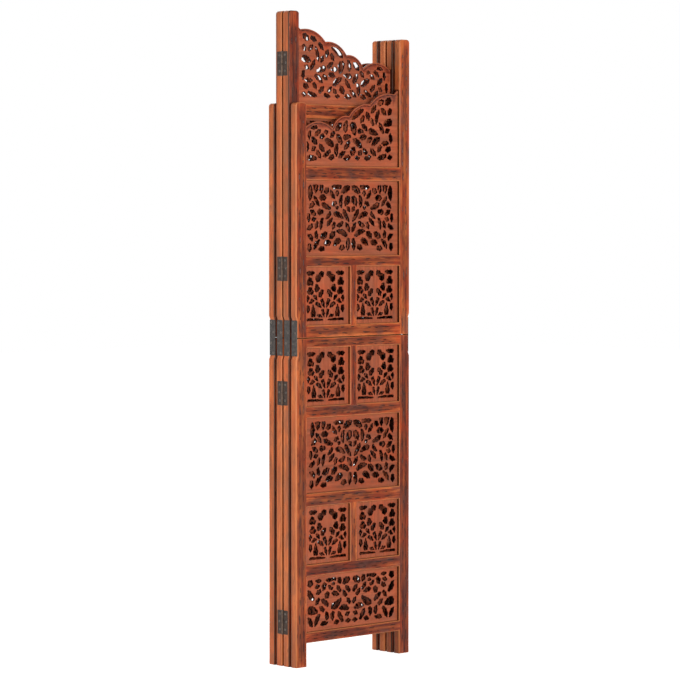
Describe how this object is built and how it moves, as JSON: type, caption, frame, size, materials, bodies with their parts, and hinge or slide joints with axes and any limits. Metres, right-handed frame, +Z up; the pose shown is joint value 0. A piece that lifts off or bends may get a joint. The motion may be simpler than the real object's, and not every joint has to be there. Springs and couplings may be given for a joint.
{
  "type": "folding carved jali screen",
  "caption": "Folding room divider: tall wooden leaves with pierced floral and tree carving, scalloped stepped crests and iron butt hinges, folded shut.",
  "frame": {"origin": "on the floor under the middle of the folded bundle", "axes": "+X to the right along a leaf's width, +Y from the front leaf to the back leaf, +Z up"},
  "size_m": [0.4068, 0.103, 1.65],
  "materials": {
    "frame_wood": "stained red brown, satin varnish, gouged streaks",
    "carved_wood": "stained orange brown, satin varnish, carved and pierced",
    "hinge_iron": "dark grey, dull"
  },
  "bodies": {
    "leaf_1": {"leaf_1_lower_left_stile": "frame_wood", "leaf_1_lower_right_stile": "frame_wood", "leaf_1_upper_left_stile": "frame_wood", "leaf_1_upper_right_stile": "frame_wood", "leaf_1_lower_rails": "frame_wood", "leaf_1_upper_rails": "frame_wood", "leaf_1_muntins": "frame_wood", "leaf_1_flower_jali": "carved_wood", "leaf_1_tree_jali": "carved_wood", "leaf_1_base_jali": "carved_wood", "leaf_1_crest_jali": "carved_wood", "leaf_1_joining_plates": "hinge_iron", "leaf_1_hinge_leaves": "hinge_iron", "leaf_1_hinge_pins": "hinge_iron"},
    "leaf_2": {"leaf_2_lower_left_stile": "frame_wood", "leaf_2_lower_right_stile": "frame_wood", "leaf_2_upper_left_stile": "frame_wood", "leaf_2_upper_right_stile": "frame_wood", "leaf_2_lower_rails": "frame_wood", "leaf_2_upper_rails": "frame_wood", "leaf_2_muntins": "frame_wood", "leaf_2_flower_jali": "carved_wood", "leaf_2_tree_jali": "carved_wood", "leaf_2_base_jali": "carved_wood", "leaf_2_frieze_jali": "carved_wood", "leaf_2_crest_jali": "carved_wood", "leaf_2_joining_plates": "hinge_iron", "leaf_2_hinge_leaves": "hinge_iron", "leaf_2_hinge_pins": "hinge_iron"},
    "leaf_3": {"leaf_3_lower_left_stile": "frame_wood", "leaf_3_lower_right_stile": "frame_wood", "leaf_3_upper_left_stile": "frame_wood", "leaf_3_upper_right_stile": "frame_wood", "leaf_3_lower_rails": "frame_wood", "leaf_3_upper_rails": "frame_wood", "leaf_3_muntins": "frame_wood", "leaf_3_flower_jali": "carved_wood", "leaf_3_tree_jali": "carved_wood", "leaf_3_base_jali": "carved_wood", "leaf_3_frieze_jali": "carved_wood", "leaf_3_crest_jali": "carved_wood", "leaf_3_joining_plates": "hinge_iron", "leaf_3_hinge_leaves": "hinge_iron", "leaf_3_hinge_pins": "hinge_iron"},
    "leaf_4": {"leaf_4_lower_left_stile": "frame_wood", "leaf_4_lower_right_stile": "frame_wood", "leaf_4_upper_left_stile": "frame_wood", "leaf_4_upper_right_stile": "frame_wood", "leaf_4_lower_rails": "frame_wood", "leaf_4_upper_rails": "frame_wood", "leaf_4_muntins": "frame_wood", "leaf_4_flower_jali": "carved_wood", "leaf_4_tree_jali": "carved_wood", "leaf_4_base_jali": "carved_wood", "leaf_4_crest_jali": "carved_wood", "leaf_4_joining_plates": "hinge_iron", "leaf_4_hinge_leaves": "hinge_iron"}
  },
  "joints": [
    {"name": "hinge_1_2", "type": "hinge", "parent": "leaf_1", "child": "leaf_2", "pos_m": [0.201, -0.027, 0], "axis": [0, 0, -1], "range_deg": [0, 180]},
    {"name": "hinge_2_3", "type": "hinge", "parent": "leaf_2", "child": "leaf_3", "pos_m": [-0.201, 0, 0], "axis": [0, 0, 1], "range_deg": [0, 180]},
    {"name": "hinge_3_4", "type": "hinge", "parent": "leaf_3", "child": "leaf_4", "pos_m": [0.201, 0.027, 0], "axis": [0, 0, -1], "range_deg": [0, 180]}
  ]
}
